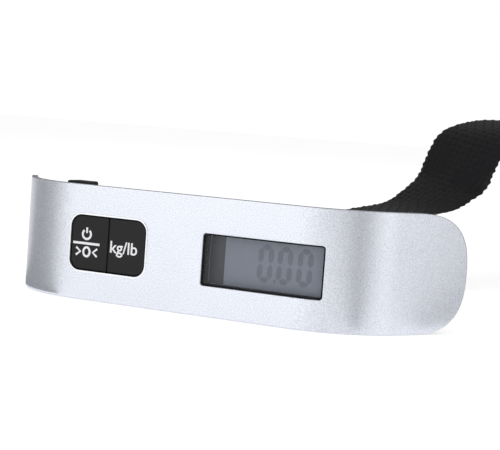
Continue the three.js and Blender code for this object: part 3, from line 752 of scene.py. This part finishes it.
def surface_height(share, s):
    """Height over the strap's middle, at a share of its half width and a distance along it."""
    cord = (share + 1) / 2 * CORDS
    crown = abs(math.sin(math.pi * cord)) ** 0.55
    weave = 0.5 + 0.5 * math.cos(2 * math.pi * (s / (2 * RIB_PITCH) + 0.5 * (int(cord) % 2)))
    rib = abs(math.cos(math.pi * s / RIB_PITCH)) ** 0.7
    fade = min(1.0, (1 - abs(share)) * EDGE_FADE)
    return (BASE + CORD * crown + RIB * rib + WEAVE * weave * crown) * (0.25 + 0.75 * fade)


def strap_point(s):
    """Middle of the strap in side view at a length s along it, and the way that it runs there."""
    at = min(max(s, 0), strap_length)
    index = at / strap_length * (len(line) - 1)
    i = min(int(index), len(line) - 2)
    spot = line[i].lerp(line[i + 1], index - i)
    way = (line[min(i + 2, len(line) - 1)] - line[max(i - 1, 0)]).normalized()
    return spot, way


# Where the strap turns up, its edges pucker. Each pucker is a y, its reach and how far back it pushes.
LEFT_PUCKERS = [(104, 10, 1.5), (120, 4, 3.4), (134, 7, -0.9)]
RIGHT_PUCKERS = [(105, 10, 4.6), (116.5, 4, 4.4), (130, 15, 3.6)]
# The same for the droop of the left edge behind the body, with how far down it goes.
LEFT_DROOP = [(76, 17, 1.4)]


def pushed(puckers, y):
    """How far the puckers or the droop move an edge of the strap at y."""
    return sum(push * math.exp(-((y - place) / reach) ** 2) for place, reach, push in puckers)


def strap_surface(face_sign, verts, uvs):
    """Points of the strap's upper (1) or under (-1) side, row after row."""
    rows = len(line)
    step = strap_length / (rows - 1)
    for i in range(rows):
        s = i * step
        way = (line[min(i + 1, rows - 1)] - line[max(i - 1, 0)]).normalized()
        turn = math.atan(slope_at(line[i].x) * abs(way.x))
        scallop = (LOOP_HEIGHT * math.cos(2 * math.pi * s / LOOP_PITCH)
                   + WANDER * math.sin(2 * math.pi * s / WANDER_PITCH))
        for k in range(ACROSS_STEPS + 1):
            share = 2 * k / ACROSS_STEPS - 1
            q = share * (HALF_WIDTH + scallop)
            shifted = s - q * math.sin(turn) * (1 if way.x >= 0 else -1)
            spot, along = strap_point(shifted)
            lift = surface_height(share, s) * face_sign
            puckers = LEFT_PUCKERS if q < 0 else RIGHT_PUCKERS
            twist = pushed(puckers, spot.x) * (abs(q) / HALF_WIDTH) ** PUCKER_POWER
            droop = pushed(LEFT_DROOP, spot.x) * max(-q, 0) / HALF_WIDTH
            verts.append((drift(round(spot.x, 1)) + q * math.cos(turn),
                          spot.x + twist - along.y * lift,
                          max(spot.y - droop + along.x * lift, LOWEST)))
            uvs.append((share * HALF_WIDTH * UV_SCALE, s * UV_SCALE))


def strap_mesh():
    """The strap's two sides, closed along its edges and ends."""
    verts, faces, uvs = [], [], []
    for face_sign in (1, -1):
        strap_surface(face_sign, verts, uvs)
    rows = len(line)
    width = ACROSS_STEPS + 1
    other = rows * width
    for side, base in ((1, 0), (-1, other)):
        for i in range(rows - 1):
            for k in range(ACROSS_STEPS):
                a = base + i * width + k
                quad = (a, a + 1, a + width + 1, a + width)
                faces.append(quad if side > 0 else quad[::-1])
    for i in range(rows - 1):
        for k, flip in ((0, False), (ACROSS_STEPS, True)):
            a, b = i * width + k, (i + 1) * width + k
            quad = (a, b, b + other, a + other)
            faces.append(quad[::-1] if flip else quad)
    for k in range(ACROSS_STEPS):
        for i, flip in ((0, True), (rows - 1, False)):
            a = i * width + k
            quad = (a, a + 1, a + 1 + other, a + other)
            faces.append(quad if flip else quad[::-1])
    return verts, faces, uvs


verts, faces, uvs = strap_mesh()
strap = piece("strap_webbing", verts, faces, webbing, "ring_and_strap")
layer = strap.data.uv_layers.new(name="weave")
for loop in strap.data.loops:
    layer.data[loop.index].uv = uvs[loop.vertex_index]
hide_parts("strap")


STITCH = [(-0.85, 0.08), (-0.5, 0.24), (0.5, 0.24), (0.85, 0.08)]   # places along a stitch, radius there
STITCH_SIDES = 6
STITCH_PLACES = [-10 + n * 2.5 for n in range(9)]      # across the strap
STITCH_RISE = 0.72                     # of a stitch's middle over the strap's
STITCH_ROWS = (39, 41.5, 49, 51.5, 210, 212, 218.5, 220.5)     # as y


def stitches(name, rows):
    """Short raised stitches across the strap, at distances along it."""
    verts, faces = [], []
    count = len(STITCH)
    for s in rows:
        spot, along = strap_point(s)
        out = Vector((-along.y, along.x))
        x = drift(spot.x)
        for q in STITCH_PLACES:
            base = len(verts)
            for a in range(STITCH_SIDES):
                angle = 2 * math.pi * a / STITCH_SIDES
                for end, r in STITCH:
                    rise = STITCH_RISE + r * math.sin(angle)
                    slide = r * math.cos(angle)
                    verts.append((x + q + end, spot.x + out.x * rise + along.x * slide,
                                  spot.y + out.y * rise + along.y * slide))
            for a in range(STITCH_SIDES):
                near, far = base + count * a, base + count * ((a + 1) % STITCH_SIDES)
                for e in range(count - 1):
                    faces.append((near + e, far + e, far + e + 1, near + e + 1))
            faces.append([base + count * a for a in range(STITCH_SIDES)])
            faces.append([base + count * a + count - 1 for a in range(STITCH_SIDES)][::-1])
    return piece(name, verts, faces, thread, "ring_and_strap")


def length_at(y):
    """Distance along the strap where its upper run passes y."""
    lowest = min(range(len(line)), key=lambda i: line[i].x)
    for i in range(lowest, len(line)):
        if line[i].x >= y:
            return strap_length * i / (len(line) - 1)
    return 0


stitching = stitches("strap_stitching", [length_at(y) for y in STITCH_ROWS])

# ---- floor and light --------------------------------------------------------------------------------
floor_mesh = bpy.data.meshes.new("floor")
floor_mesh.from_pydata([(-4, -4, 0), (4, -4, 0), (4, 4, 0), (-4, 4, 0)], [], [(0, 1, 2, 3)])
floor = bpy.data.objects.new("floor", floor_mesh)
floor.location.z = -0.0001
floor_finish = bpy.data.materials.new("pale_floor")
floor_finish.use_nodes = True
floor_inputs = floor_finish.node_tree.nodes["Principled BSDF"].inputs
floor_inputs["Base Color"].default_value = (0.93, 0.93, 0.93, 1)
floor_inputs["Roughness"].default_value = 0.9
floor_inputs["Emission Color"].default_value = (1, 1, 1, 1)
floor_inputs["Emission Strength"].default_value = 0.55
floor_mesh.materials.append(floor_finish)
bpy.context.scene.collection.objects.link(floor)

# the camera sees plain white behind the object, and everything else sees a dimmer white
world = bpy.data.worlds.new("studio")
bpy.context.scene.world = world
world.use_nodes = True
sky = world.node_tree
surround = sky.nodes["Background"]
surround.inputs["Color"].default_value = (1, 1, 1, 1)
surround.inputs["Strength"].default_value = 0.45
backdrop = sky.nodes.new("ShaderNodeBackground")
backdrop.inputs["Color"].default_value = (1, 1, 1, 1)
seen = sky.nodes.new("ShaderNodeLightPath")
choose = sky.nodes.new("ShaderNodeMixShader")
sky.links.new(seen.outputs["Is Camera Ray"], choose.inputs[0])
sky.links.new(surround.outputs[0], choose.inputs[1])
sky.links.new(backdrop.outputs[0], choose.inputs[2])
sky.links.new(choose.outputs[0], sky.nodes["World Output"].inputs["Surface"])
bpy.context.scene.view_settings.view_transform = "Standard"


def softbox(name, where, target, size, power):
    """A rectangular light that faces a target."""
    data = bpy.data.lights.new(name, "AREA")
    data.shape = "RECTANGLE"
    data.size, data.size_y = size
    data.energy = power
    made = bpy.data.objects.new(name, data)
    made.location = where
    made.rotation_mode = "QUATERNION"
    made.rotation_quaternion = (Vector(target) - Vector(where)).to_track_quat("-Z", "Y")
    bpy.context.scene.collection.objects.link(made)
    return made


def dark_card(name, foot, angle, spread, shade, near=0.006, far=0.8, tall=0.7):
    """A card that shades part of the reflections, out of the camera's sight: it lies on the floor from
    near to far, in a direction from its foot, and then stands up."""
    points = []
    for reach, height in ((near, 0.0006), (far, 0.0006), (far, tall)):
        for side in (-1, 1):
            a = math.radians(angle + side * spread / 2)
            points.append((foot[0] + reach * math.cos(a), foot[1] + reach * math.sin(a), height))
    mesh = bpy.data.meshes.new(name)
    mesh.from_pydata(points, [], [(0, 1, 3, 2), (2, 3, 5, 4)])
    finish = bpy.data.materials.new(name)
    finish.use_nodes = True
    finish.node_tree.nodes["Principled BSDF"].inputs["Base Color"].default_value = (shade,) * 3 + (1,)
    mesh.materials.append(finish)
    made = bpy.data.objects.new(name, mesh)
    made.visible_camera = False
    made.visible_shadow = False
    made.visible_diffuse = False
    bpy.context.scene.collection.objects.link(made)


softbox("front_left", (-0.42, -0.95, 0.40), (0, 0, 0.015), (0.85, 0.7), 2.7)
softbox("right_side", (0.95, -0.12, 0.30), (0, 0, 0.015), (0.35, 0.6), 0.9)
softbox("overhead", (0.1, 0.2, 1.1), (0.05, 0.1, 0), (1.2, 1.2), 1.8)
dark_card("card_right", (0.046, -0.01), -41, 20, 0.30)
dark_card("card_far_right", (0.06, 0.0), 28, 34, 0.40)
dark_card("card_left", (-0.02, -0.005), -172, 52, 0.48)
